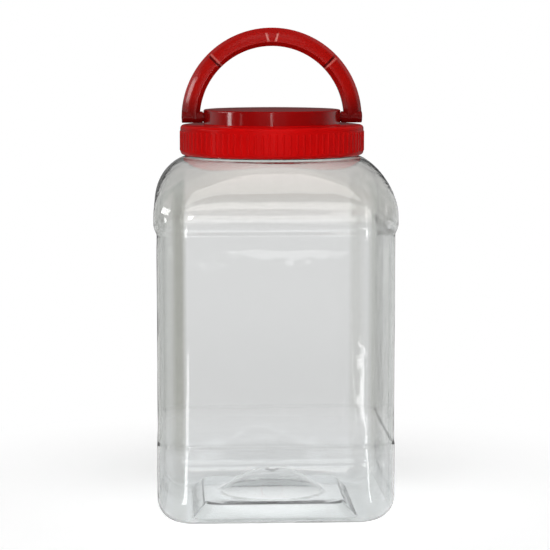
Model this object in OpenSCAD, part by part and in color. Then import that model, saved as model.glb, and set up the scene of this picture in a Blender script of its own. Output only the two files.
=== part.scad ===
// Square clear jar with a round screw lid and a folding carry handle.
// Millimetres, +Z up, the origin in the middle of the standing ring, the front towards -Y.

/* [Jar plan] */
// Width across the flats at the shoulder band
shoulder_w = 154; // [146:0.5:170]
// Width across the flats at the label panel
panel_w = 150; // [140:0.2:153]
// Width across the flats at the base section
base_w = 150.8; // [142:0.2:153]
// Corner radius of the base section, seen from above
corner_r = 19; // [12:0.5:30]

/* [Jar heights] */
// Height of the jar up to the rim of its neck; the label panel takes up what the rest leaves
jar_h = 247.3; // [210:0.1:330]
// Height of the base section, up to the start of its step
base_h = 48.5; // [34:0.5:70]
// Height of the step between base section and label panel
base_step_h = 4.5; // [3:0.5:12]
// Height of the step between label panel and shoulder band
panel_step_h = 6; // [4:0.5:14]
// Height of the straight shoulder band
band_h = 4.5; // [1:0.5:15]
// Height of the domed shoulder
dome_h = 35.5; // [26:0.5:48]
// How early the domed shoulder bends in towards the neck
dome_bend = 1.25; // [0.9:0.05:1.5]
// How early the shoulder loses its straight sides on the way up
dome_fade = 2.4; // [1.6:0.1:3.6]

/* [Jar wall and base] */
// Wall of the blown shell
wall = 0.9; // [0.6:0.1:1.6]
// Radius of the heel between side and base
heel_r = 17; // [10:0.5:24]
// Width of the flat ring the jar stands on
stand_w = 6.3; // [3:0.1:9]
// Corner radius of the standing ring at its outer edge
stand_corner_r = 9; // [7:0.5:14]
// Corner radius of the pushed-up base
push_corner_r = 7; // [4:0.5:12]
// Height of the bevel that lifts the base off the ground
bevel_h = 8.5; // [5:0.5:14]
// Width of that bevel
bevel_w = 7.5; // [5:0.5:14]
// Radius of the round dome in the middle of the base
base_dome_r = 33; // [20:0.5:36]
// Rise of that dome above the bevel
base_dome_h = 14; // [4:0.5:16]
// Radius of the gate mark under the dome
nub_r = 3.5; // [2:0.1:6]
// Height of the gate mark
nub_h = 1.6; // [0.6:0.1:3]

/* [Neck] */
// Outer radius of the neck at the root of its thread
neck_r = 54; // [48:0.5:58]
// Height of the neck above the shoulder
neck_h = 16.8; // [13:0.1:26]
// Wall of the neck
neck_wall = 1.6; // [1.2:0.1:2.4]
// Width of the land on the shoulder, outside the neck
land_w = 1.2; // [0.6:0.1:3]
// Room for the thread between neck and skirt
thread_room = 2.9; // [2:0.1:4.5]

/* [Lid] */
// Wall of the skirt, without its ribs
skirt_wall = 2.7; // [2.5:0.1:4]
// Gap between the skirt and the top of the shoulder
skirt_gap = 0.7; // [0.4:0.1:3]
// Radius of the rounding along the skirt's lower edge
skirt_edge_r = 2.4; // [0.6:0.1:2.4]
// Radius of the rounding along the ledge's outer edge
ledge_edge_r = 2.2; // [0.4:0.1:2.4]
// Thickness of the ledge and of the raised disc's top
top_t = 1.8; // [1.2:0.1:3]
// Radius of the raised disc
disc_r = 44.5; // [34:0.5:46]
// Height of the disc's top above the folded handle
disc_over = 1.1; // [0.4:0.1:4]
// Wall of the raised disc
disc_wall = 2; // [1.4:0.1:3]
// Radius of the rounding along the disc's upper edge
disc_edge_r = 0.9; // [0.3:0.1:1.4]
// Number of grip ribs round the skirt
rib_count = 84; // [40:1:110]
// Radius of one grip rib
rib_r = 1.2; // [0.8:0.1:1.5]
// How far a grip rib stands out of the skirt
rib_out = 0.4; // [0.2:0.05:0.7]
// Plain band below the grip ribs
rib_low_band = 3; // [2.2:0.1:6]
// Plain band above the grip ribs
rib_high_band = 4.2; // [2.2:0.1:6]
// Length of the socket that holds a handle pin, from the disc's rim inwards
socket_len = 7.5; // [6:0.1:12]
// Wall round a handle pin's socket
socket_wall = 1.5; // [1:0.1:2.5]

/* [Liner] */
// Thickness of the foam liner
liner_t = 1.5; // [0.8:0.1:3]
// Gap between the liner's rim and the skirt
liner_gap = 0.5; // [0.3:0.1:1.5]

/* [Handle] */
// Gap between the raised disc and the handle's inner edge, beside the pins
handle_gap = 2.4; // [1.8:0.1:6]
// Width of the handle's ring, measured along its radius
handle_w = 11.9; // [9:0.1:14]
// Depth of the handle, front to back
handle_depth = 7.7; // [7.2:0.1:10]
// How far the ring's centre lies below the pins
arch_drop = 1; // [0:0.1:1.4]
// Gap between the folded handle and the ledge
ledge_gap = 1; // [0.6:0.1:3]
// How far the handle's round front falls back, from its crest near the inner edge to its outer bevel
front_drop = 4.4; // [1.5:0.1:4.8]
// Width of the bevel along the handle's inner front edge
in_bevel_w = 2.6; // [1:0.1:3.2]
// Depth of that bevel
in_bevel_d = 2.4; // [0.8:0.1:3]
// Width of the bevel along the handle's outer front edge
out_bevel_w = 1.3; // [0.6:0.1:2.6]
// Depth of that bevel
out_bevel_d = 1.8; // [0.6:0.1:2]
// Radius of the rounding along the handle's back edges
back_edge_r = 0.6; // [0.2:0.1:0.8]
// Width of the rims beside the channel in the handle's back
rim_w = 1.9; // [1.7:0.1:3]
// Wall in front of the channel, at its two corners
crown_t = 1.7; // [1.4:0.1:2.4]
// Angle between the pivot line and each end of the channel
channel_end = 12; // [6:0.5:20]
// Angle between the top of the handle and each groove across its front
groove_angle = 46; // [25:1:65]
// Width of such a groove
groove_w = 2; // [1:0.1:4]
// Depth of such a groove
groove_depth = 0.7; // [0.2:0.1:0.9]
// Thickness of the rib left in the channel behind each groove
cross_rib_t = 3; // [1:0.1:5]
// Angle between the top of the handle and each of the two short marks there
mark_angle = 3.4; // [2.4:0.1:10]
// Lean of such a mark away from the handle's radius
mark_lean = 13; // [0:1:20]
// Radius of the round cut that leaves such a mark
mark_r = 1.3; // [0.8:0.1:2]
// Depth of such a mark
mark_depth = 0.45; // [0.2:0.05:0.7]
// Radius of a handle pin
pin_r = 3; // [2:0.1:3.4]
// Clearance between pin and socket, on the radius
pin_play = 0.05; // [0.02:0.01:0.1]
// Gap between a pin's end and the bottom of its socket
pin_end_gap = 0.5; // [0.3:0.1:1.5]
// Gap between a handle hub and the raised disc
hub_gap = 0.5; // [0.3:0.1:1.2]
// How far a hub's round end stays inside the handle's own outline
hub_inset = 0.15; // [0.05:0.05:0.5]

/* [Hidden] */

$fn = 96;
// A cut runs this far past the face it opens
past = 1;

// Points on each of a jar ring's four corners
corner_points = 14;
ring_points = 4 * corner_points;
// Steps along each curved stretch of the jar's profile
heel_steps = 6;
step_steps = 4;
dome_steps = 10;
base_dome_steps = 4;
// Steps along a rounded edge of the lid or the handle
edge_steps = 5;

// Heights of the jar's stretches, from the rim down
rim_z = jar_h;
neck_z = rim_z - neck_h;
dome_z = neck_z - dome_h;
panel_top_z = dome_z - band_h - panel_step_h;

// Half widths, and half the straight stretch of each side
base_half = base_w / 2;
panel_half = panel_w / 2;
shoulder_half = shoulder_w / 2;
body_flat = base_half - corner_r;
stand_half = base_half - heel_r;
stand_flat = stand_half - stand_corner_r;
push_half = stand_half - stand_w;
plateau_half = push_half - bevel_w;

// Neck, and the land it stands on
neck_bore_r = neck_r - neck_wall;
land_r = neck_r + land_w;
land_in_r = neck_bore_r - wall / 2;

// Lid
skirt_in_r = neck_r + thread_room;
skirt_r = skirt_in_r + skirt_wall;
skirt_z = neck_z + skirt_gap;
under_z = rim_z + liner_t;
ledge_z = under_z + top_t;
disc_z = ledge_z + ledge_gap + handle_depth + disc_over;
disc_in_r = disc_r - disc_wall;

// Handle
half_depth = handle_depth / 2;
hub_r = half_depth - hub_inset;
pivot_z = ledge_z + ledge_gap + half_depth;
handle_in_r = disc_r + handle_gap;
handle_r = handle_in_r + handle_w;
mid_r = handle_in_r + handle_w / 2;
crest_r = handle_in_r + in_bevel_w;
brow_r = handle_r - out_bevel_w;
front_w = brow_r - crest_r;
front_r = (pow(front_w, 2) + pow(front_drop, 2)) / (2 * front_drop);
front_c = [crest_r, half_depth - front_r];
front_turn = asin(front_w / front_r);
front_sag = front_r * (1 - cos(front_turn / 2));
groove_turn = groove_w / mid_r * 180 / PI;
hub_in_x = disc_r + hub_gap;
hub_out_x = handle_r - hub_inset;
socket_end_x = disc_r - socket_len;
pin_end_x = socket_end_x + pin_end_gap;
socket_r = pin_r + pin_play;

// Points of an arc, from one angle to another
function arc(centre, r, from, to, steps) =
    [for (i = [0:steps]) let (a = from + (to - from) * i / steps) centre + r * [cos(a), sin(a)]];

// One ring of the jar: a square of half width p[0] with straight half sides p[1], at height p[2]
function jar_ring(p) = [
    for (q = [0:3], j = [0:corner_points - 1])
        let (a = 90 * q + (j + 0.5) * 90 / corner_points, r = p[0] - p[1])
        [p[1] * sign(cos(90 * q + 45)) + r * cos(a), p[1] * sign(sin(90 * q + 45)) + r * sin(a), p[2]]
];

// The outside of the jar, from the middle of its base out to the heel and up to the neck
crown_z = bevel_h + base_dome_h;
base_profile = concat(
    [[0.6 * nub_r, 0, crown_z - nub_h], [nub_r, 0, crown_z - 0.3 * nub_h]],
    [for (i = [1:base_dome_steps])
        let (r = nub_r + (base_dome_r - nub_r) * i / base_dome_steps)
        [r, 0, bevel_h + base_dome_h * (1 - pow((r - nub_r) / (base_dome_r - nub_r), 2))]],
    [[plateau_half, plateau_half - push_corner_r, bevel_h], [push_half, push_half - push_corner_r, 0]],
    [for (i = [0:heel_steps])
        let (a = 90 * i / heel_steps)
        [stand_half + heel_r * sin(a), stand_flat + (body_flat - stand_flat) * sin(a), heel_r * (1 - cos(a))]]
);
side_profile = concat(
    [for (i = [0:step_steps])
        let (t = i / step_steps)
        [base_half + (panel_half - base_half) * (1 - cos(180 * t)) / 2, body_flat, base_h + base_step_h * t]],
    [for (i = [0:step_steps])
        let (t = i / step_steps)
        [panel_half + (shoulder_half - panel_half) * sin(90 * t), body_flat, panel_top_z + panel_step_h * t]],
    [for (i = [0:dome_steps])
        let (a = 90 * i / dome_steps)
        let (half = land_r + (shoulder_half - land_r) * pow(cos(a), dome_bend))
        [half, body_flat * pow(cos(a), dome_fade), dome_z + dome_h * sin(a)]],
    [[land_in_r, 0, neck_z]]
);
jar_outside = concat(base_profile, side_profile);

// The inside follows the outside, one wall away from it
function towards_inside(p, q) = let (d = [q[0] - p[0], q[2] - p[2]]) [-d[1], d[0]] / norm(d);
function inside_point(line, i) =
    let (last = len(line) - 1)
    let (before = i == 0 ? [0, 1] : towards_inside(line[i - 1], line[i]))
    let (after = i == last ? [0, -1] : towards_inside(line[i], line[i + 1]))
    let (m = wall * (before + after) / (1 + before * after))
    [line[i][0] + m[0], line[i][1], line[i][2] + m[1]];
jar_inside = [for (i = [len(jar_outside) - 1:-1:0]) inside_point(jar_outside, i)];

// A closed skin through a list of jar rings
module ring_loft(profile) {
    n = ring_points;
    points = [for (p = profile) each jar_ring(p)];
    last = n * (len(profile) - 1);
    skin = [
        for (i = [0:len(profile) - 2], k = [0:n - 1])
            let (a = i * n + k, b = i * n + (k + 1) % n)
            each [[a, a + n, b + n], [a, b + n, b]]
    ];
    polyhedron(points, concat([[for (k = [0:n - 1]) k], [for (k = [n - 1:-1:0]) last + k]], skin));
}

// Turns a shape drawn round Z so that its axis runs along X, out from the middle on one side
module on_pivot(side) {
    translate([0, 0, pivot_z])
        rotate([0, 90 * side, 0])
            children();
}

// Blown shell: pushed-up base, base section, recessed label panel, domed shoulder, round neck
module jar_body() {
    color([0.86, 0.88, 0.88, 0.35]) {
        ring_loft(concat(jar_outside, jar_inside));
        translate([0, 0, neck_z])
            rotate_extrude()
                translate([neck_bore_r, 0])
                    square([neck_wall, neck_h]);
    }
}

// Foam disc between the neck's rim and the lid
module lid_liner() {
    color([0.93, 0.93, 0.91])
        translate([0, 0, rim_z])
            cylinder(r = skirt_in_r - liner_gap, h = liner_t);
}

// Skirt, ledge and hollow raised disc as one moulded wall
module lid_wall() {
    disc_corner = [disc_r - disc_edge_r, disc_z - disc_edge_r];
    ledge_corner = [skirt_r - ledge_edge_r, ledge_z - ledge_edge_r];
    skirt_corner = [skirt_r - skirt_edge_r, skirt_z + skirt_edge_r];
    rotate_extrude()
        polygon(concat(
            [[0, disc_z - top_t], [0, disc_z]],
            arc(disc_corner, disc_edge_r, 90, 0, edge_steps),
            [[disc_r, ledge_z]],
            arc(ledge_corner, ledge_edge_r, 90, 0, edge_steps),
            arc(skirt_corner, skirt_edge_r, 0, -90, edge_steps),
            [[skirt_in_r, skirt_z], [skirt_in_r, under_z], [disc_in_r, under_z], [disc_in_r, disc_z - top_t]]
        ));
}

// Round ribs for the fingers, sloped into the skirt at both ends
module grip_ribs() {
    low = skirt_z + rib_low_band;
    high = ledge_z - rib_high_band;
    root_r = skirt_r - skirt_wall / 2;
    tip_r = skirt_r + rib_out;
    run = tip_r - root_r;
    intersection() {
        for (i = [0:rib_count - 1])
            rotate(360 * i / rib_count)
                translate([tip_r - rib_r, 0, low - run])
                    cylinder(r = rib_r, h = high - low + 2 * run, $fn = 24);
        rotate_extrude()
            polygon([[root_r, low - run], [tip_r, low], [tip_r, high], [root_r, high + run]]);
    }
}

// Boss inside the raised disc that closes round a handle pin
module socket_boss(side) {
    intersection() {
        on_pivot(side)
            translate([0, 0, socket_end_x - socket_wall])
                cylinder(r = socket_r + socket_wall, h = socket_len + socket_wall);
        translate([0, 0, under_z])
            cylinder(r = disc_r - disc_wall / 2, h = disc_z - top_t / 2 - under_z);
    }
}

// Screw lid with a ribbed skirt and a raised disc
module lid() {
    color([0.80, 0.04, 0.04])
        difference() {
            union() {
                lid_wall();
                grip_ribs();
                for (side = [-1, 1])
                    socket_boss(side);
            }
            for (side = [-1, 1])
                on_pivot(side)
                    translate([0, 0, socket_end_x])
                        cylinder(r = socket_r, h = socket_len + past);
        }
}

// Part of the handle's ring, swept from a section drawn as radius and distance to the front
module handle_sweep(from, to) {
    translate([0, 0, pivot_z - arch_drop])
        rotate([90, 0, 0])
            rotate(from)
                rotate_extrude(angle = to - from)
                    children();
}

// Puts a shape on the middle of the handle's ring, turned to an angle from its top
module on_handle(angle) {
    translate([0, 0, pivot_z - arch_drop])
        rotate([0, angle, 0])
            translate([0, 0, mid_r])
                children();
}

// Round front of the handle's section, from its crest to its outer bevel
handle_front = arc(front_c, front_r, 90, 90 - front_turn, 2 * edge_steps);

// How far forward the section's front lies at a radius, bevels included
function front_y(r) =
    r < crest_r ? half_depth - in_bevel_d * (crest_r - r) / in_bevel_w :
    r > brow_r ? half_depth - front_drop - out_bevel_d * (r - brow_r) / out_bevel_w :
    front_c[1] + sqrt(pow(front_r, 2) - pow(r - crest_r, 2));

// Cross section of the handle
module handle_section() {
    back = back_edge_r - half_depth;
    polygon(concat(
        [[handle_in_r, front_y(handle_in_r)]],
        handle_front,
        [[handle_r, front_y(handle_r)]],
        arc([handle_r - back_edge_r, back], back_edge_r, 0, -90, edge_steps),
        arc([handle_in_r + back_edge_r, back], back_edge_r, 270, 180, edge_steps)
    ));
}

// Channel that cores the handle out from the back, with a rib left behind each groove
module handle_channel() {
    in_r = handle_in_r + rim_w;
    out_r = handle_r - rim_w;
    half_rib = cross_rib_t / mid_r * 90 / PI;
    stops = [channel_end - half_rib, 90 - groove_angle, 90 + groove_angle, 180 - channel_end + half_rib];
    for (i = [0:2])
        handle_sweep(stops[i] + half_rib, stops[i + 1] - half_rib)
            polygon([
                [in_r, -half_depth - past],
                [out_r, -half_depth - past],
                [out_r, front_y(out_r) - crown_t],
                [in_r, front_y(in_r) - crown_t]
            ]);
}

// Groove of even depth across the handle's front
module front_groove(angle) {
    bed = [for (p = handle_front) p - [0, groove_depth]];
    handle_sweep(90 - angle - groove_turn / 2, 90 - angle + groove_turn / 2)
        polygon(concat(
            [[handle_in_r - past, half_depth + past], [handle_in_r - past, bed[0][1]]],
            bed,
            [[handle_r + past, bed[len(bed) - 1][1]], [handle_r + past, half_depth + past]]
        ));
}

// Short mark across the middle of the handle's front
module front_mark(angle, lean) {
    on_handle(angle)
        translate([0, front_drop / 2 - half_depth, (crest_r + brow_r) / 2 - mid_r])
            rotate([0, lean, 0])
                rotate([-front_turn / 2, 0, 0])
                    translate([0, mark_depth - mark_r - front_sag, -handle_w / 2])
                        cylinder(r = mark_r, h = handle_w);
}

// Hub and pin at one end of the handle
module handle_end(side) {
    on_pivot(side)
        rotate_extrude()
            polygon(concat(
                [[0, pin_end_x], [pin_r, pin_end_x], [pin_r, hub_in_x], [hub_r, hub_in_x]],
                arc([hub_r - back_edge_r, hub_out_x - back_edge_r], back_edge_r, 0, 90, edge_steps),
                [[0, hub_out_x]]
            ));
}

// Half ring that stands on two pins and folds flat round the raised disc
module carry_handle() {
    color([0.78, 0.04, 0.04]) {
        difference() {
            handle_sweep(0, 180)
                handle_section();
            handle_channel();
            for (side = [-1, 1]) {
                front_groove(side * groove_angle);
                front_mark(side * mark_angle, side * mark_lean);
            }
        }
        for (side = [-1, 1])
            handle_end(side);
    }
}

jar_body();
lid_liner();
lid();
carry_handle();
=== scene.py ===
# %% [markdown]
# # A clear square jar with a red screw lid
# The jar is blown plastic: square below, round at the neck. Its lid is moulded plastic with a
# half-ring handle. The solids from the CAD model come first, as a fixed frame. The lid, its liner
# and the handle keep their solids and get a finish. The jar is made again here, because clear
# plastic shows every facet and because its neck carries a thread. The lid gets a thread as well.

# %% Load the frame
import math

import bpy
import numpy as np
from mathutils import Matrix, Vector


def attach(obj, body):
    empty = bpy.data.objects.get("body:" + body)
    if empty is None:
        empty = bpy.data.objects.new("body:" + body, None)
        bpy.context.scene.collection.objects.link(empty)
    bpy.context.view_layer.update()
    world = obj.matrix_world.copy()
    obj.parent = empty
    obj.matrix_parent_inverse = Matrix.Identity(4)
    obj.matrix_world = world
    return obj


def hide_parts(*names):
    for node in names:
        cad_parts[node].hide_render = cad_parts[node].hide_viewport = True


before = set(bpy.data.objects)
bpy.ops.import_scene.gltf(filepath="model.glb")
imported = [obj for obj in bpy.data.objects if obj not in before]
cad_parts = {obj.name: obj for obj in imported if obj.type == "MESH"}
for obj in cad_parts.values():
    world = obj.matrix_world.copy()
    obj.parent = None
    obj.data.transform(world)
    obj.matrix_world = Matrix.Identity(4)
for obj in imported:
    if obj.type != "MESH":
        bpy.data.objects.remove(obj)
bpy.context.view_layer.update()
MM = 0.001

# %% [markdown]
# ## The jar's profile
# A blown jar has one wall, and a section through its side says nearly everything about it. Each
# point of the profile has a half width, the straight half of its side and a height. Where the
# straight part is zero the jar is round, as at the neck. The profile could be drawn by hand as a
# curve. Short rules are used instead, because the heel, the steps and the dome are plain arcs and
# waves with known sizes.

# %% Sizes of the body, in millimetres
WALL = 0.9
BODY_FLAT = 56.4
BASE_HALF, PANEL_HALF, SHOULDER_HALF = 75.4, 75.0, 77.0
DOME_R, DOME_H, NUB_R, NUB_H = 33.0, 14.0, 3.5, 1.6
BEVEL_TOP, BEVEL_FOOT, BEVEL_H, BEVEL_CORNER = 44.6, 52.1, 8.5, 7.0
HEEL_R, HEEL_FLAT_GAIN = 17.0, 7.0
STEP_Z, STEP_H, BEAD = 48.5, 4.5, 0.25
SWELL_Z, SWELL_H = 184.5, 6.0
SHOULDER_Z, SHOULDER_CURVE, CORNER_CURVE = 195.0, 1.25, 2.4
NECK_ROOT, NECK_Z = 55.2, 230.5
print("half widths: base", BASE_HALF, "panel", PANEL_HALF, "shoulder", SHOULDER_HALF, "mm")

# %% Base and heel


def smooth(x, low, high):
    t = np.clip((x - low) / (high - low), 0, 1)
    return t * t * (3 - 2 * t)


def base_line(nub_h):
    r = np.linspace(0, DOME_R, 67)
    rise = DOME_H * (1 - (np.maximum(r - NUB_R, 0) / (DOME_R - NUB_R)) ** 2)
    mark = nub_h * (1 - smooth(r, 0.5 * NUB_R, NUB_R))
    dome = np.stack([r, 0 * r, BEVEL_H + rise - mark], 1)
    bevel = [[BEVEL_TOP, BEVEL_TOP - BEVEL_CORNER, BEVEL_H], [BEVEL_FOOT, BEVEL_FOOT - BEVEL_CORNER, 0]]
    t = np.radians(np.linspace(0, 90, 31))
    half = BASE_HALF - HEEL_R * (1 - np.sin(t))
    flat = BODY_FLAT - HEEL_FLAT_GAIN * (1 - np.sin(t))
    heel = np.stack([half, flat, HEEL_R * (1 - np.cos(t))], 1)
    return np.concatenate([dome, bevel, heel])


print("base line:", len(base_line(NUB_H)), "points")

# %% Sides and shoulder


def side_line():
    t = np.linspace(0, 1, 21)
    flat = np.full(len(t), BODY_FLAT)
    drop = (BASE_HALF - PANEL_HALF) / 2 * (1 - np.cos(np.pi * t))
    bead = BEAD * np.sin(np.pi * t) ** 2
    step = np.stack([BASE_HALF - drop + bead, flat, STEP_Z + STEP_H * t], 1)
    gain = (SHOULDER_HALF - PANEL_HALF) * np.sin(np.pi / 2 * t)
    swell = np.stack([PANEL_HALF + gain, flat, SWELL_Z + SWELL_H * t], 1)
    t = np.radians(np.linspace(0, 88, 45))
    half = NECK_ROOT + (SHOULDER_HALF - NECK_ROOT) * np.cos(t) ** SHOULDER_CURVE
    rise = (NECK_Z - SHOULDER_Z) * np.sin(t)
    shoulder = np.stack([half, BODY_FLAT * np.cos(t) ** CORNER_CURVE, SHOULDER_Z + rise], 1)
    return np.concatenate([step, swell, shoulder])


print("side line:", len(side_line()), "points")

# %% [markdown]
# ## Soft edges and the inside
# Hot plastic never fills a sharp edge of the mould, so the profile is sampled finely and blurred
# along its length by about a millimetre. The inside is the same line moved in by one wall, without
# the gate mark, which is solid. It is softer than the outside, because only the outside touches
# the mould. A neck with a rounded lip joins the two.

# %% Soften the outside
LINE_STEP = 0.1
SOFT_OUTSIDE = 0.7


def sample(line, step):
    reach = np.concatenate([[0], np.cumsum(np.hypot(*np.diff(line[:, [0, 2]], axis=0).T))])
    at = np.linspace(0, reach[-1], int(reach[-1] / step) + 1)
    return np.stack([np.interp(at, reach, line[:, k]) for k in range(3)], 1)


def soften(line, radius):
    dense = sample(line, LINE_STEP)
    reach = int(3 * radius / LINE_STEP)
    weight = np.exp(-0.5 * (np.arange(-reach, reach + 1) * LINE_STEP / radius) ** 2)
    weight /= weight.sum()
    before = 2 * dense[:1] - dense[reach:0:-1]
    after = 2 * dense[-1:] - dense[-2:-reach - 2:-1]
    held = np.concatenate([before, dense, after])
    return np.stack([np.convolve(held[:, k], weight, "valid") for k in range(3)], 1)


outside = soften(np.concatenate([base_line(NUB_H), side_line()]), SOFT_OUTSIDE)
print("outside line:", len(outside), "points, widest", round(2 * outside[:, 0].max(), 1), "mm")

# %% Inside, neck and lip
NECK_R, BORE_R, RIM_Z, LIP_R = 54.0, 52.4, 247.3, 0.6
SOFT_BASE, SOFT_SIDE, SOFTER_FROM, SOFTER_TO = 1.1, 2.4, 30, 44
INSIDE_TOP, SOFT_JOINT = 229.2, 0.25


def moved_in(line, wall):
    run = np.gradient(line[:, [0, 2]], axis=0)
    run /= np.linalg.norm(run, axis=1)[:, None]
    return line + wall * np.stack([-run[:, 1], 0 * run[:, 0], run[:, 0]], 1)


def lip_line():
    t = np.radians(np.linspace(0, 180, 19))
    middle, half = (NECK_R + BORE_R) / 2, (NECK_R - BORE_R) / 2
    rim = np.stack([middle + half * np.cos(t), 0 * t, RIM_Z - LIP_R + LIP_R * np.sin(t)], 1)
    return np.concatenate([[[NECK_R, 0, NECK_Z]], rim, [[BORE_R, 0, NECK_Z + 1]]])


plain = np.concatenate([base_line(0.0), side_line()])
crisp, softer = soften(plain, SOFT_BASE), soften(plain, SOFT_SIDE)
inside = moved_in(crisp + (softer - crisp) * smooth(crisp[:, 2:], SOFTER_FROM, SOFTER_TO), WALL)
inside[0, 0] = 0
inside_down = inside[inside[:, 2] < INSIDE_TOP][::-1]
line = soften(np.concatenate([outside, lip_line(), inside_down]), SOFT_JOINT)
line[[0, -1], 0] = 0
print("wall line is", round(len(line) * LINE_STEP), "mm long")

# %% [markdown]
# ## Rows
# The wall line has thousands of points, far more than the flats need. A row is kept where the line
# has turned by a few degrees or run on for a while. Rows on the neck stay close together, because
# the thread crosses them.

# %% Thin the wall line to rows
TURN, RUN, THREAD_RUN = math.radians(3.5), 7.0, 0.3
ON_NECK = (line[:, 0] > NECK_R - 0.2) & (line[:, 2] > NECK_Z + 1) & (line[:, 2] < RIM_Z - LIP_R)


def kept_rows():
    rows, turned, run = [0], 0.0, 0.0
    step = np.diff(line[:, [0, 2]], axis=0)
    heading = np.unwrap(np.arctan2(step[:, 1], step[:, 0]))
    for i in range(1, len(line) - 1):
        turned += abs(heading[i] - heading[i - 1])
        run += np.hypot(*step[i - 1])
        if turned > TURN or run > (THREAD_RUN if ON_NECK[i] else RUN):
            rows.append(i)
            turned, run = 0.0, 0.0
    return rows + [len(line) - 1]


def faded(x, start, end):
    return smooth(x, *start) * (1 - smooth(x, *end))


rows = kept_rows()
height = line[rows, 2]
thread_rows = np.where(ON_NECK[rows], faded(height, (232.6, 234.2), (243.4, 245.2)), 0)
panel_rows = faded(height, (54, 68), (170, 184))
print("rows:", len(rows), "of them with thread:", int((thread_rows > 0).sum()))

# %% [markdown]
# ## Small helpers for node trees
# A node tree can be written like a sum once each socket behaves like a number. Field does that:
# adding two fields places a Math node and links it. The same helpers serve shapes and finishes.

# %% Fields and nodes


class Field:
    def __init__(self, tree, socket):
        self.tree, self.socket = tree, socket

    def do(self, operation, *others):
        node = self.tree.nodes.new("ShaderNodeMath")
        node.operation = operation
        for slot, term in zip(node.inputs, (self, *others)):
            plug(self.tree, term, slot)
        return Field(self.tree, node.outputs[0])

    def __add__(self, other):
        return self.do("ADD", other)

    def __sub__(self, other):
        return self.do("SUBTRACT", other)

    def __mul__(self, other):
        return self.do("MULTIPLY", other)

    def __truediv__(self, other):
        return self.do("DIVIDE", other)


def plug(tree, term, slot):
    if isinstance(term, Field):
        term = term.socket
    if isinstance(term, bpy.types.NodeSocket):
        tree.links.new(term, slot)
    else:
        slot.default_value = term


def place(tree, kind, inputs=None, **settings):
    node = tree.nodes.new(kind)
    for key, value in settings.items():
        setattr(node, key, value)
    for key, value in (inputs or {}).items():
        plug(tree, value, node.inputs[key])
    return node


print("node helpers:", [f.__name__ for f in (Field, plug, place)])

# %% Common nodes


def ramp(tree, value, low, high, to_low=0.0, to_high=1.0, kind="LINEAR"):
    ends = {"Value": value, "From Min": low, "From Max": high, "To Min": to_low, "To Max": to_high}
    return Field(tree, place(tree, "ShaderNodeMapRange", ends, interpolation_type=kind).outputs[0])


def noise(tree, spot, scale, detail=2.0, roughness=0.5):
    values = {"Vector": spot, "Scale": scale, "Detail": detail, "Roughness": roughness}
    return Field(tree, place(tree, "ShaderNodeTexNoise", values).outputs["Fac"])


def axes_of(tree, vector):
    return [Field(tree, s) for s in place(tree, "ShaderNodeSeparateXYZ", {"Vector": vector}).outputs]


def vector_of(tree, x=0.0, y=0.0, z=0.0):
    return place(tree, "ShaderNodeCombineXYZ", {"X": x, "Y": y, "Z": z}).outputs[0]


def grey(tree, level):
    values = {"Red": level, "Green": level, "Blue": level}
    return place(tree, "ShaderNodeCombineColor", values).outputs[0]


# A Mix node keeps sockets for every data type; 6 and 7 in and 2 out are the colours.
def mixed(tree, factor, first, second, blend="MIX"):
    node = place(tree, "ShaderNodeMix", data_type="RGBA", blend_type=blend)
    for number, term in ((0, factor), (6, first), (7, second)):
        plug(tree, term, node.inputs[number])
    return node.outputs[2]


print("common nodes:", [f.__name__ for f in (ramp, noise, axes_of, vector_of, grey, mixed)])

# %% [markdown]
# ## Plastic that comes out of a mould
# Moulded plastic is never one flat colour: the pigment clouds a little where the melt flowed, and
# the skin has a very fine orange peel. The lid, the handle and the liner all have it, so it is one
# node group with its own values in each material.

# %% Moulded skin group


def new_group(name, inputs, outputs):
    group = bpy.data.node_groups.new(name, "ShaderNodeTree")
    for in_out, sockets in (("INPUT", inputs), ("OUTPUT", outputs)):
        for label, kind in sockets.items():
            group.interface.new_socket(label, in_out=in_out, socket_type="NodeSocket" + kind)
    start, end = group.nodes.new("NodeGroupInput"), group.nodes.new("NodeGroupOutput")
    return group, start.outputs, end.inputs


def object_spot(tree):
    return place(tree, "ShaderNodeTexCoord").outputs["Object"]


CLOUD_SCALE = 55.0
moulded, given, result = new_group(
    "moulded_skin",
    {"Color": "Color", "Clouding": "Float", "Roughness": "Float", "Peel Scale": "Float"},
    {"Color": "Color", "Roughness": "Float", "Height": "Float"},
)
here = object_spot(moulded)
cloud = ramp(moulded, noise(moulded, here, CLOUD_SCALE, 3.0), 0.3, 0.7, -1.0, 1.0)
peel = noise(moulded, here, given["Peel Scale"], 1.0)
level = grey(moulded, cloud * given["Clouding"] + 1.0)
dulled = ramp(moulded, peel, 0.3, 0.7, 0.95, 1.05) * given["Roughness"]
plug(moulded, mixed(moulded, 1.0, given["Color"], level, "MULTIPLY"), result["Color"])
plug(moulded, dulled, result["Roughness"])
plug(moulded, peel, result["Height"])
print("group:", moulded.name, "with", len(moulded.nodes), "nodes")

# %% [markdown]
# ## Finishes
# The lid and the handle are red plastic. The skirt is satin and keeps the brighter red. The raised
# disc is painted a deeper red, a painted shade. Its side is polished, which a coat gives. The
# handle is painted darker towards its ends, a painted shade. Each arm has a groove with painted
# shade in its bed and a painted highlight on one edge, and two painted highlights mark its top.
# The liner is white foam. A Principled shader takes its colour, roughness and bump from the group,
# and these painted shades and highlights are tints on Object coordinates.

# %% A moulded material
PEEL_BUMP = 0.15


def new_material(name):
    material = bpy.data.materials.new(name)
    material.use_nodes = True
    tree = material.node_tree
    return material, tree, tree.nodes["Principled BSDF"], tree.nodes["Material Output"]


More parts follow.
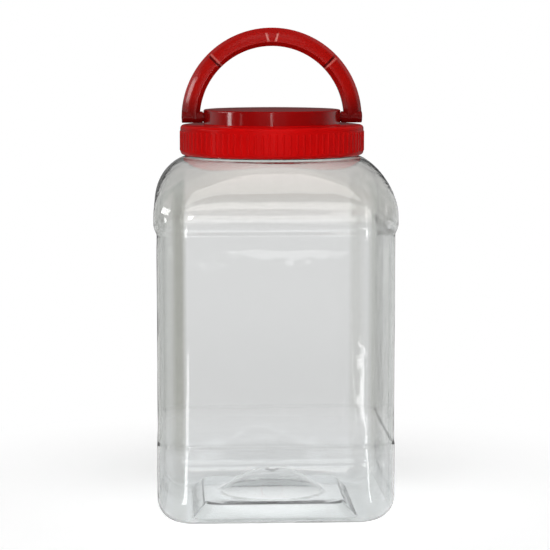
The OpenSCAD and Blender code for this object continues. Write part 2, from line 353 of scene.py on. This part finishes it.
def moulded_material(name, color, clouding, roughness, peel_scale, peel_depth, gloss, tint=None):
    material, tree, shader, _ = new_material(name)
    for key, value in gloss.items():
        shader.inputs[key].default_value = value
    skin = place(tree, "ShaderNodeGroup", node_tree=moulded)
    values = {"Color": tint(tree, color) if tint else color, "Clouding": clouding,
              "Roughness": roughness, "Peel Scale": peel_scale}
    for key, value in values.items():
        plug(tree, value, skin.inputs[key])
    relief = {"Height": skin.outputs["Height"], "Strength": PEEL_BUMP, "Distance": peel_depth}
    plug(tree, skin.outputs["Color"], shader.inputs["Base Color"])
    plug(tree, skin.outputs["Roughness"], shader.inputs["Roughness"])
    plug(tree, place(tree, "ShaderNodeBump", relief).outputs["Normal"], shader.inputs["Normal"])
    return material


FOAM_WHITE = (0.86, 0.86, 0.84, 1)
white_foam = moulded_material("white_foam", FOAM_WHITE, clouding=0.03, roughness=0.7,
                              peel_scale=2600.0, peel_depth=0.12 * MM, gloss={})
print("material:", white_foam.name)

# %% Red lid
LEDGE_Z, DISC_Z = 250.6 * MM, 260.4 * MM
# The disc's red is a painted shade: its side and top are painted deeper than the skirt.
SKIRT_RED, DISC_SHADE_RED = (0.66, 0.004, 0.004, 1), (0.33, 0.002, 0.002, 1)
LID_GLOSS = {"Specular IOR Level": 0.04, "Coat Roughness": 0.12}


# Paints the disc above the ledge a deeper red as painted shade; the coat on its side is real gloss.
def disc_painted_shade(tree, color):
    up = axes_of(tree, object_spot(tree))[2]
    on_disc = ramp(tree, up, LEDGE_Z + 0.2 * MM, LEDGE_Z + 1.2 * MM)
    on_side = on_disc * ramp(tree, up, DISC_Z - 0.9 * MM, DISC_Z - 0.2 * MM, 1.0, 0.0)
    plug(tree, on_side, tree.nodes["Principled BSDF"].inputs["Coat Weight"])
    return mixed(tree, on_disc, color, DISC_SHADE_RED)


RED_PEEL = {"clouding": 0.06, "peel_scale": 700.0, "peel_depth": 0.008 * MM}
red_lid = moulded_material("red_lid_plastic", SKIRT_RED, roughness=0.24, gloss=LID_GLOSS,
                           tint=disc_painted_shade, **RED_PEEL)
print("material:", red_lid.name)

# %% Red handle
PIVOT_Z, GROOVE_ANGLE = 255.45 * MM, 46.0
END_Z, ARM_Z = 253 * MM, 275 * MM
MARK_Z, MARK_OUT, MARK_LEAN = 307 * MM, 3.1 * MM, 0.3
# The end colour is a painted shade: the red deepens towards the handle's ends.
HANDLE_RED, HANDLE_END_SHADE = (0.46, 0.005, 0.003, 1), (0.14, 0.002, 0.002, 1)
# A pale red for painted highlights on the groove edges and the top marks.
PAINTED_HIGHLIGHT_RED = (0.75, 0.22, 0.19, 1)
HANDLE_GLOSS = {"Specular IOR Level": 0.1, "Coat Weight": 0.8, "Coat Roughness": 0.16}


# Paints shade and highlights on the handle: darker ends, shaded groove beds, lit groove edges and top
# marks.
def handle_painted_light(tree, color):
    x, y, up = axes_of(tree, object_spot(tree))
    # Painted shade: the red darkens towards the ends of the arms.
    red = mixed(tree, ramp(tree, up, END_Z, ARM_Z, 0.0, 1.0, "SMOOTHSTEP"), HANDLE_END_SHADE, color)
    angle = x.do("ARCTAN2", up - PIVOT_Z) * math.degrees(1)
    off_groove = angle - angle.do("SIGN") * GROOVE_ANGLE
    front = ramp(tree, y, 0.0, 1 * MM, 1.0, 0.0)
    # Painted shade in the groove beds, in the dark end colour.
    shaded_groove_bed = ramp(tree, off_groove.do("ABSOLUTE"), 0.6, 1.1, 1.0, 0.0) * front
    # Painted highlight on the groove wall that faces the left lamps.
    edge = ramp(tree, (off_groove - 1.7).do("ABSOLUTE"), 0.3, 0.9, 0.6, 0.0) * front
    # Painted highlights: two short marks at the top of the arch.
    above = up - MARK_Z
    off_mark = (x.do("ABSOLUTE") - above * MARK_LEAN - MARK_OUT).do("ABSOLUTE")
    mark_ends = ramp(tree, above.do("ABSOLUTE"), 2 * MM, 3 * MM, 1.0, 0.0)
    mark = ramp(tree, off_mark, 0.5 * MM, 0.9 * MM, 1.0, 0.0) * mark_ends
    groove_shaded = mixed(tree, shaded_groove_bed, red, HANDLE_END_SHADE)
    return mixed(tree, edge.do("MAXIMUM", mark), groove_shaded, PAINTED_HIGHLIGHT_RED)


red_handle = moulded_material("red_handle_plastic", HANDLE_RED, roughness=0.27, gloss=HANDLE_GLOSS,
                              tint=handle_painted_light, **RED_PEEL)
print("material:", red_handle.name)

# %% [markdown]
# ## Clear plastic
# The jar's plastic passes light and bends it a little. A Glass shader could do that. The Principled
# shader with full transmission does the same and also takes a tint. A blown wall isn't equally
# thick: the tint is palest on the base's dome, deeper on the panels and the shoulder, and deepest
# in the corners and where the wall is seen along its length, because light then runs through more
# plastic. The left corners are painted deeper than the right ones, a painted shade on that side.
# Below the base step the wall is stretched less, so the corners are weaker there. Lamps shine
# through by a Transparent shader, because refraction alone would leave a black shadow.

# %% Tint of the clear shell
DOME_TINT, BASE_TINT = (0.99, 0.995, 1.0, 1), (0.895, 0.91, 0.915, 1)
HEIGHT_TINTS = [
    (30 * MM, 50 * MM, (0.81, 0.815, 0.815, 1)),
    (80 * MM, 130 * MM, (0.84, 0.845, 0.845, 1)),
    (188 * MM, 200 * MM, (0.77, 0.76, 0.74, 1)),
    (208 * MM, 224 * MM, (0.85, 0.82, 0.80, 1)),
]
CORNER_TINT, ALONG_TINT = (0.62, 0.625, 0.60, 1), (0.68, 0.70, 0.69, 1)


def shell_tint(tree):
    x, y, up = axes_of(tree, object_spot(tree))
    from_axis = (x * x + y * y).do("SQRT")
    tint = mixed(tree, ramp(tree, from_axis, 34 * MM, 44 * MM), DOME_TINT, BASE_TINT)
    for low, high, color in HEIGHT_TINTS:
        tint = mixed(tree, ramp(tree, up, low, high), tint, color)
    nearer = x.do("ABSOLUTE").do("MINIMUM", y.do("ABSOLUTE"))
    # Painted shade: the left corners get more of the corner tint than the right ones.
    left_side_shade = ramp(tree, x, -30 * MM, 30 * MM, 1.0, 0.6)
    in_corner = ramp(tree, nearer, 55.5 * MM, 60 * MM, 0.0, left_side_shade, "SMOOTHSTEP")
    in_corner = in_corner * ramp(tree, nearer, 63 * MM, 68 * MM, 1.0, 0.35)
    stretched = ramp(tree, up, 46 * MM, 54 * MM, 0.3, 1.0)
    facing = place(tree, "ShaderNodeLayerWeight", {"Blend": 0.5}).outputs["Facing"]
    along = ramp(tree, facing, 0.05, 0.9)
    body = mixed(tree, in_corner * stretched, tint, CORNER_TINT)
    return mixed(tree, along * stretched, body, ALONG_TINT)


print("tints by height:", len(HEIGHT_TINTS))

# %% Clear shell
SHADOW_TINT = (0.93, 0.935, 0.93, 1)
clear_shell, tree, shader, output = new_material("clear_shell_plastic")
here = object_spot(tree)
haze = ramp(tree, noise(tree, here, 30.0, 3.0), 0.3, 0.7, 0.02, 0.05)
drawn = place(tree, "ShaderNodeMapping", {"Vector": here, "Scale": (1, 1, 0.05)}).outputs[0]
ripple = noise(tree, here, 38.0, 2.0) + noise(tree, drawn, 130.0, 1.0) * 0.12
bump = place(tree, "ShaderNodeBump", {"Height": ripple, "Strength": 0.3, "Distance": 0.6 * MM})
plug(tree, shell_tint(tree), shader.inputs["Base Color"])
plug(tree, haze, shader.inputs["Roughness"])
plug(tree, bump.outputs["Normal"], shader.inputs["Normal"])
shader.inputs["Transmission Weight"].default_value = 1.0
shader.inputs["IOR"].default_value = 1.57
passing = place(tree, "ShaderNodeBsdfTransparent", {"Color": SHADOW_TINT}).outputs[0]
lamp_ray = place(tree, "ShaderNodeLightPath").outputs["Is Shadow Ray"]
both = place(tree, "ShaderNodeMixShader", {0: lamp_ray, 1: shader.outputs[0], 2: passing})
plug(tree, both.outputs[0], output.inputs["Surface"])
print("clear shell refracts by", round(shader.inputs["IOR"].default_value, 2))

# %% [markdown]
# ## From a tree to a piece
# A Geometry Nodes tree gets its sizes through named inputs and runs as a modifier on a seed object.
# The result is copied to a plain mesh, because the finished part carries no live modifiers. A mesh
# whose faces point inwards has a negative volume, so its volume says whether it has to be turned.

# %% Tree helpers
SOCKETS = {int: "NodeSocketInt", float: "NodeSocketFloat", bpy.types.Material: "NodeSocketMaterial"}


def new_tree(name, sizes):
    tree = bpy.data.node_groups.new(name, "GeometryNodeTree")
    tree.interface.new_socket("Geometry", in_out="INPUT", socket_type="NodeSocketGeometry")
    for label, value in sizes.items():
        tree.interface.new_socket(label, in_out="INPUT", socket_type=SOCKETS[type(value)])
    tree.interface.new_socket("Geometry", in_out="OUTPUT", socket_type="NodeSocketGeometry")
    start, end = tree.nodes.new("NodeGroupInput"), tree.nodes.new("NodeGroupOutput")
    return tree, {s.name: Field(tree, s) for s in start.outputs if s.name}, end.inputs[0]


def finish_tree(tree, shape, material, shape_out):
    real = place(tree, "GeometryNodeRealizeInstances", {"Geometry": shape})
    finished = {"Geometry": real.outputs[0], "Material": material}
    plug(tree, place(tree, "GeometryNodeSetMaterial", finished).outputs[0], shape_out)


def grow(name, tree, sizes, mesh):
    seed = bpy.data.objects.new(name + "_seed", mesh)
    bpy.context.scene.collection.objects.link(seed)
    modifier = seed.modifiers.new("Shape", "NODES")
    modifier.node_group = tree
    for item in tree.interface.items_tree:
        if item.in_out == "INPUT" and item.name in sizes:
            modifier[item.identifier] = sizes[item.name]
    graph = bpy.context.evaluated_depsgraph_get()
    made = bpy.data.meshes.new_from_object(seed.evaluated_get(graph))
    seed.modifiers.remove(modifier)
    bpy.data.objects.remove(seed)
    piece = bpy.data.objects.new(name, made)
    bpy.context.scene.collection.objects.link(piece)
    made.name = name
    return piece


def volume_of(mesh):
    mesh.calc_loop_triangles()
    spots = np.array([v.co for v in mesh.vertices])
    corner = spots[np.array([t.vertices for t in mesh.loop_triangles])]
    return np.einsum("ij,ij->i", corner[:, 0], np.cross(corner[:, 1], corner[:, 2])).sum() / 6


def face_out(piece):
    if volume_of(piece.data) < 0:
        piece.data.flip_normals()
    volume = round(volume_of(piece.data) / MM ** 3)
    print(piece.name, "has", len(piece.data.loop_triangles), "triangles and", volume, "mm3 of plastic")


print("kinds of size:", [kind.__name__ for kind in SOCKETS])

# %% [markdown]
# ## The jar
# The body goes from square to round, so it can't simply be turned on a lathe. A tree bends a flat
# grid into it: one row for each point of the profile and one column for each direction from the
# axis. The distance out is where that direction meets a rounded square. On the neck a spiral ridge
# is added, which is the thread, and on the panels a slight crown and a slow ripple, as a blown wall
# has.

# %% Jar tree
JAR = {
    "Side Columns": 44, "Flat Share": 0.42, "Flat Angle": math.radians(36.8),
    "Thread Lead": 6 * MM, "Thread Low": 236.0 * MM, "Thread Depth": 1.9 * MM,
    "Crown": 0.35 * MM, "Ripple": 0.25 * MM, "Ripple Scale": 17.0, "Material": clear_shell,
}
tree, size, shape_out = new_tree("square_to_round_shell", JAR)
profile = size["Geometry"]
points = place(tree, "GeometryNodeAttributeDomainSize", {"Geometry": profile})
row_count = Field(tree, points.outputs[0])
columns = size["Side Columns"] * 4
grid = place(tree, "GeometryNodeMeshGrid", {
    "Size X": columns, "Size Y": row_count - 1, "Vertices X": columns + 1, "Vertices Y": row_count})
grid_x, grid_y, _ = axes_of(tree, place(tree, "GeometryNodeInputPosition").outputs[0])
column = (grid_x + columns / 2).do("ROUND")
row = (grid_y + (row_count - 1) / 2).do("ROUND")


def at_row(name):
    value = place(tree, "GeometryNodeInputNamedAttribute", {"Name": name}).outputs[0]
    wanted = {"Geometry": profile, "Value": value, "Index": row}
    return Field(tree, place(tree, "GeometryNodeSampleIndex", wanted).outputs[0])


half, flat, up = at_row("half"), at_row("flat"), at_row("up")
print("jar tree takes", [name for name in size if name != "Geometry"])

# %% Distance out in each direction
side = column / size["Side Columns"]
nearest = side.do("ROUND")
across = (side - nearest) * 2
share = across.do("ABSOLUTE")
corner_angle = size["Flat Angle"] * -1 + math.pi / 4
local = ramp(tree, share, 0.0, size["Flat Share"]) * size["Flat Angle"]
local = local + ramp(tree, share, size["Flat Share"], 1.0) * corner_angle
c, s = local.do("COSINE"), local.do("SINE")
corner_r = half - flat
under_root = corner_r * corner_r - flat * flat * (c * s * -2 + 1)
round_out = flat * (c + s) + under_root.do("MAXIMUM", 0.0).do("SQRT")
on_corner = (half * s / c).do("GREATER_THAN", flat)
flat_out = half / c
out = flat_out + (round_out - flat_out) * on_corner
axis = nearest * (math.pi / 2)
angle = axis + local * across.do("SIGN")
print("rounded square:", len(tree.nodes), "nodes so far")

# %% Thread, crown and ripple
RIDGE_TOP, RIDGE_FOOT = 0.45 * MM, 1.25 * MM
turns = (up - size["Thread Low"]) / size["Thread Lead"] - angle / (2 * math.pi)
off = (turns - turns.do("ROUND")).do("ABSOLUTE") * size["Thread Lead"]
ridge = ramp(tree, off, RIDGE_TOP, RIDGE_FOOT, 1.0, 0.0, "SMOOTHSTEP") * at_row("thread")
out = out + ridge * size["Thread Depth"]
panel = at_row("panel")
reach = (out * s / (flat + 0.1 * MM)).do("MINIMUM", 1.0)
bulge = (reach * reach * -1 + 1) * size["Crown"] * panel
on_wall = vector_of(tree, angle.do("COSINE") * half, angle.do("SINE") * half, up)
wave = (noise(tree, on_wall, size["Ripple Scale"], 1.0) - 0.5) * 2 * size["Ripple"]
out = out + wave * panel
place_x = angle.do("COSINE") * out + axis.do("COSINE") * bulge
place_y = angle.do("SINE") * out + axis.do("SINE") * bulge
where = vector_of(tree, place_x, place_y, up)
bent = place(tree, "GeometryNodeSetPosition", {"Geometry": grid.outputs[0], "Position": where})
joined = {"Geometry": bent.outputs[0], "Distance": 0.001 * MM}
closed = place(tree, "GeometryNodeMergeByDistance", joined)
shaded = place(tree, "GeometryNodeSetShadeSmooth", {"Geometry": closed.outputs[0]})
finish_tree(tree, shaded.outputs[0], size["Material"], shape_out)
print("jar tree:", len(tree.nodes), "nodes")

# %% Grow the jar
wall_mesh = bpy.data.meshes.new("wall_line")
wall_mesh.from_pydata([(p[0] * MM, 0, p[2] * MM) for p in line[rows]], [], [])
row_values = {"half": line[rows, 0] * MM, "flat": line[rows, 1] * MM, "up": height * MM,
              "thread": thread_rows, "panel": panel_rows}
for name, values in row_values.items():
    attribute = wall_mesh.attributes.new(name, "FLOAT", "POINT")
    attribute.data.foreach_set("value", values.astype(np.float32))
jar = grow("jar_shell", tree, JAR, wall_mesh)
face_out(jar)
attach(jar, "jar")
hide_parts("jar_body")

# %% [markdown]
# ## The lid's thread
# Inside the skirt a ridge runs round. It follows a spiral, so a tree sweeps a small trapezoid along
# a spiral curve. Its ends run out into the wall. The spiral node climbs clockwise and the neck's
# ridge climbs the other way, so the two ridges cross behind the skirt. That is a known fault: on a
# real jar both have the same hand.

# %% Thread tree
LID_THREAD = {
    "Radius": 57.1 * MM, "Lead": 6 * MM, "Turns": 1.55, "Low": 233.9 * MM, "Depth": 2.3 * MM,
    "Root Width": 2.5 * MM, "Tip Width": 1.2 * MM, "Run Out": 0.12, "Steps": 120,
    "Material": red_lid,
}
END_SCALE = 0.05
tree, size, shape_out = new_tree("lid_thread", LID_THREAD)
spiral = place(tree, "GeometryNodeCurveSpiral", {
    "Resolution": size["Steps"], "Rotations": size["Turns"], "Start Radius": size["Radius"],
    "End Radius": size["Radius"], "Height": size["Turns"] * size["Lead"]})
upright = place(tree, "GeometryNodeSetCurveNormal", {"Curve": spiral.outputs[0]}, mode="Z_UP")
along = Field(tree, place(tree, "GeometryNodeSplineParameter").outputs["Factor"])
starts = ramp(tree, along, 0.0, size["Run Out"], END_SCALE, 1.0, "SMOOTHSTEP")
ends = ramp(tree, along, size["Run Out"] * -1 + 1, 1.0, 1.0, END_SCALE, "SMOOTHSTEP")
print("lid thread tree:", len(tree.nodes), "nodes so far")

# %% Sweep and grow the thread
section = place(tree, "GeometryNodeCurvePrimitiveQuadrilateral", mode="POINTS")
root, tip, deep = size["Root Width"] / 2, size["Tip Width"] / 2, size["Depth"]
corners = ((0.0, root * -1), (0.0, root), (deep, tip), (deep, tip * -1))
for number, (depth, width) in enumerate(corners, 1):
    plug(tree, vector_of(tree, depth, width), section.inputs[f"Point {number}"])
swept = place(tree, "GeometryNodeCurveToMesh", {
    "Curve": upright.outputs[0], "Profile Curve": section.outputs[0],
    "Scale": starts * ends, "Fill Caps": True})
raised = {"Geometry": swept.outputs[0], "Translation": vector_of(tree, z=size["Low"])}
lifted = place(tree, "GeometryNodeTransform", raised)
finish_tree(tree, lifted.outputs[0], size["Material"], shape_out)
lid_thread = grow("lid_thread", tree, LID_THREAD, bpy.data.meshes.new("empty"))
face_out(lid_thread)
from_axis = [math.hypot(v.co.x, v.co.y) / MM for v in lid_thread.data.vertices]
print("lid thread lies", round(min(from_axis), 1), "to", round(max(from_axis), 1), "mm from the axis")
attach(lid_thread, "lid")

# %% [markdown]
# ## Finishes on the solids
# The lid, its liner and the handle already have the right shape, so their solids stay and only take
# a finish.

# %% Dress the solids
for node, material in {"lid": red_lid, "carry_handle": red_handle, "lid_liner": white_foam}.items():
    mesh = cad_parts[node].data
    mesh.materials.clear()
    mesh.materials.append(material)
    print(node, "gets", material.name)

# %% [markdown]
# ## Floor and surroundings
# The jar stands in front of plain white. The floor is pale and keeps the jar's soft shadow close
# by; further out it turns into the same white as the background. Seen through the jar, the floor
# below it is dimmer, because the base holds light back, and less so under the dome. What the jar
# mirrors is a dim room with paler side walls and a pale table, which gives clear plastic its edges.

# %% Floor
FLOOR_R, FLOOR_SIDES = 6.0, 96
floor_mesh = bpy.data.meshes.new("floor")
directions = [2 * math.pi * k / FLOOR_SIDES for k in range(FLOOR_SIDES)]
ring = [(FLOOR_R * math.cos(a), FLOOR_R * math.sin(a), 0) for a in directions]
floor_mesh.from_pydata(ring, [], [list(range(FLOOR_SIDES))])
floor = bpy.data.objects.new("floor", floor_mesh)
floor.visible_glossy = False
bpy.context.scene.collection.objects.link(floor)
print("floor radius", FLOOR_R, "m")

# %% Floor paper
WHITE, PAPER, BOUNCE = (1, 1, 1, 1), (0.80, 0.80, 0.80, 1), (0.75, 0.75, 0.75, 1)
LIFT, UNDER_JAR, UNDER_DOME = 0.56, -0.30, 0.16


def seen_ray(tree, *kinds):
    path = place(tree, "ShaderNodeLightPath")
    total = Field(tree, path.outputs[kinds[0]])
    for kind in kinds[1:]:
        total = total.do("MAXIMUM", Field(tree, path.outputs[kind]))
    return total


paper, tree, shader, output = new_material("floor_paper")
away = place(tree, "ShaderNodeVectorMath", {0: object_spot(tree)}, operation="LENGTH").outputs["Value"]
far = ramp(tree, away, 0.11, 0.34, 0.0, 1.0, "SMOOTHSTEP")
plug(tree, PAPER, shader.inputs["Base Color"])
plug(tree, 0.9, shader.inputs["Roughness"])
dimmer = ramp(tree, away, 70 * MM, 105 * MM, UNDER_JAR, 0.0)
less_so = ramp(tree, away, 32 * MM, 50 * MM, UNDER_DOME, 0.0)
through = seen_ray(tree, "Is Transmission Ray") * (dimmer + less_so)
lift = place(tree, "ShaderNodeEmission", {"Color": WHITE, "Strength": through + LIFT})
lit = place(tree, "ShaderNodeAddShader", {0: shader.outputs[0], 1: lift.outputs[0]})
white = place(tree, "ShaderNodeEmission", {"Color": WHITE, "Strength": 1.0})
seen_floor = place(tree, "ShaderNodeMixShader", {0: far, 1: lit.outputs[0], 2: white.outputs[0]})
seen = seen_ray(tree, "Is Camera Ray", "Is Glossy Ray", "Is Transmission Ray")
bounce = place(tree, "ShaderNodeBsdfDiffuse", {"Color": BOUNCE})
sides = {0: seen, 1: bounce.outputs[0], 2: seen_floor.outputs[0]}
plug(tree, place(tree, "ShaderNodeMixShader", sides).outputs[0], output.inputs["Surface"])
floor_mesh.materials.append(paper)
print("floor gets", paper.name)

# %% Surroundings
ROOM, TABLE = (0.05, 0.05, 0.05, 1), 0.3
world = bpy.data.worlds.new("studio")
bpy.context.scene.world = world
world.use_nodes = True
tree = world.node_tree
aside, behind, up = axes_of(tree, place(tree, "ShaderNodeTexCoord").outputs["Generated"])
back_wall = ramp(tree, behind, -0.2, 0.9, 0.03, 0.12)
side_walls = ramp(tree, aside.do("ABSOLUTE"), 0.3, 0.6) * ramp(tree, behind, 0.0, 0.4, 0.0, 0.35)
mirrored = back_wall + side_walls + ramp(tree, up, -0.3, -0.05, TABLE, 0.0)
room = mixed(tree, seen_ray(tree, "Is Glossy Ray"), ROOM, grey(tree, mirrored))
straight = seen_ray(tree, "Is Camera Ray", "Is Transmission Ray")
plug(tree, mixed(tree, straight, room, WHITE), tree.nodes["Background"].inputs["Color"])
print("world:", world.name)

# %% [markdown]
# ## Lamps and camera
# Two wide soft lamps, above and in front, light the whole and stay out of reflections. Two cards
# give no soft light, only highlights on the shoulder and the lid. Three small lamps at the jar's
# own height draw the upright lines on the disc. Two narrow strips lie on the floor in front, and
# the jar's corners draw them out to long upright lines. Directions are counted from the front,
# minus to the left. The camera is far off with a long lens, about as high as the handle's top.

# %% Lamps
AIM = Vector((0.0020, 0, 0.152))


def area_light(name, width, tall, power):
    light = bpy.data.lights.new(name, "AREA")
    light.shape, light.size, light.size_y, light.energy = "RECTANGLE", width, tall, power
    holder = bpy.data.objects.new(name, light)
    holder.visible_camera = False
    bpy.context.scene.collection.objects.link(holder)
    return holder


# Name, azimuth and elevation in degrees, distance, width and height in metres, power in watts.
LAMPS = [
    ("low_left", -77, 2, 1.4, 0.17, 0.20, 0.8),
    ("short_left", -55, 2, 1.4, 0.03, 0.20, 0.04),
    ("level_front", -3.4, 2, 1.9, 0.05, 0.16, 0.22),
    ("card_left", -86, 22, 1.4, 0.80, 0.40, 5.5),
    ("card_right", 80, -11, 1.4, 0.70, 0.50, 1.1),
    ("wide_above", -3, 58, 1.6, 1.20, 1.20, 14.0),
    ("wide_front", -3, 9, 1.9, 1.60, 1.00, 12.0),
]
for name, azimuth, elevation, distance, width, tall, power in LAMPS:
    a, e = math.radians(azimuth), math.radians(elevation)
    towards = Vector((math.sin(a) * math.cos(e), -math.cos(a) * math.cos(e), math.sin(e)))
    holder = area_light(name, width, tall, power)
    holder.location = AIM + distance * towards
    holder.rotation_euler = towards.to_track_quat("Z", "Y").to_euler()
    holder.visible_glossy = not name.startswith("wide")
    holder.visible_diffuse = not name.startswith("card")
print("lamps:", [row[0] for row in LAMPS])

# %% Strips on the floor
STRIP_REACH, STRIP_GLOW, STRIP_GAP, STRIP_Z = 0.70, 4.5, 35 * MM, 2 * MM
STRIPS = [("strip_left", -68 * MM, -2, 18 * MM), ("strip_right", 72 * MM, 4.8, 7 * MM)]
for name, start_x, azimuth, width in STRIPS:
    a, middle = math.radians(azimuth), STRIP_GAP + STRIP_REACH / 2
    power = STRIP_GLOW * math.pi * width * STRIP_REACH
    holder = area_light(name, width, STRIP_REACH, power)
    middle_y = -PANEL_HALF * MM - middle * math.cos(a)
    holder.location = (start_x + middle * math.sin(a), middle_y, STRIP_Z)
    holder.rotation_euler = (math.pi, 0, a)
    holder.visible_diffuse = False
    print(name, "gives", round(power, 3), "W")

# %% Camera
camera = bpy.data.objects.new("camera", bpy.data.cameras.new("camera"))
camera.location = (-0.066, -1.3984, 0.3098)
camera.rotation_euler = (AIM - camera.location).to_track_quat("-Z", "Y").to_euler()
camera.data.lens, camera.data.sensor_width = 140.6, 36
bpy.context.scene.collection.objects.link(camera)
bpy.context.scene.camera = camera
bpy.context.scene.view_settings.view_transform = "Standard"
print("camera", round((AIM - camera.location).length, 2), "m away")
